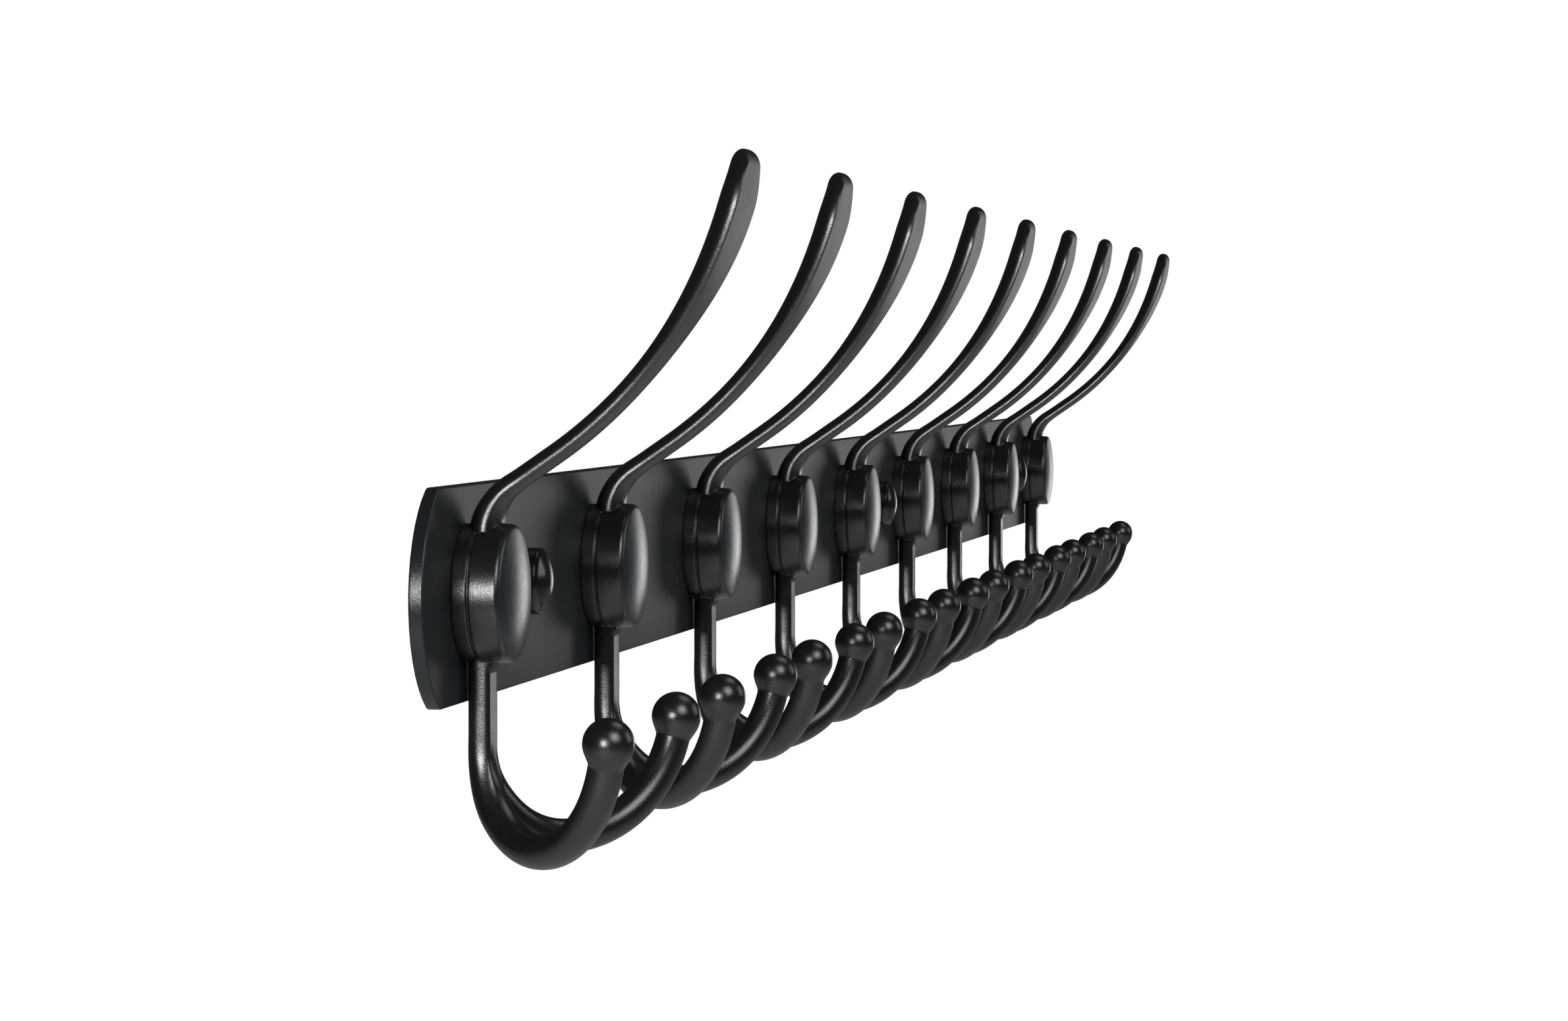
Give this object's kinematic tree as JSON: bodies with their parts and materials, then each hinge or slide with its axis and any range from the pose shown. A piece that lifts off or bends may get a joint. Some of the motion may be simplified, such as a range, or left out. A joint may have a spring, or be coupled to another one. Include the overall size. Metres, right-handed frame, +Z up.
{
  "type": "wall coat rack",
  "caption": "Flat wall rail with bowed ends and a row of cast hooks, each with a tall paddle-tipped prong above and splayed ball-ended arms below, and domed caps over the wall holes.",
  "frame": {"origin": "centre of the rail's back face, midway between the two outer wall holes", "axes": "+X along the rail to the right as seen from the room, +Y into the wall, +Z up"},
  "size_m": [0.9866, 0.0628, 0.1457],
  "materials": {
    "rail_paint": "matt black powder coat with a faint upright grain",
    "hook_paint": "satin black coat on a finely grained die casting",
    "screw_steel": "zinc plated steel",
    "base_plastic": "moulded black plastic",
    "cap_gloss": "polished black plastic"
  },
  "bodies": {
    "root": {"back_rail": "rail_paint", "hook_1": "hook_paint", "hook_2": "hook_paint", "hook_3": "hook_paint", "hook_4": "hook_paint", "hook_5": "hook_paint", "hook_6": "hook_paint", "hook_7": "hook_paint", "hook_8": "hook_paint", "hook_9": "hook_paint", "hook_screw_1": "screw_steel", "hook_screw_2": "screw_steel", "hook_screw_3": "screw_steel", "hook_screw_4": "screw_steel", "hook_screw_5": "screw_steel", "hook_screw_6": "screw_steel", "hook_screw_7": "screw_steel", "hook_screw_8": "screw_steel", "hook_screw_9": "screw_steel", "cap_base_1": "base_plastic", "cap_base_2": "base_plastic", "cap_base_3": "base_plastic", "screw_cap_1": "cap_gloss", "screw_cap_2": "cap_gloss", "screw_cap_3": "cap_gloss"}
  },
  "joints": []
}
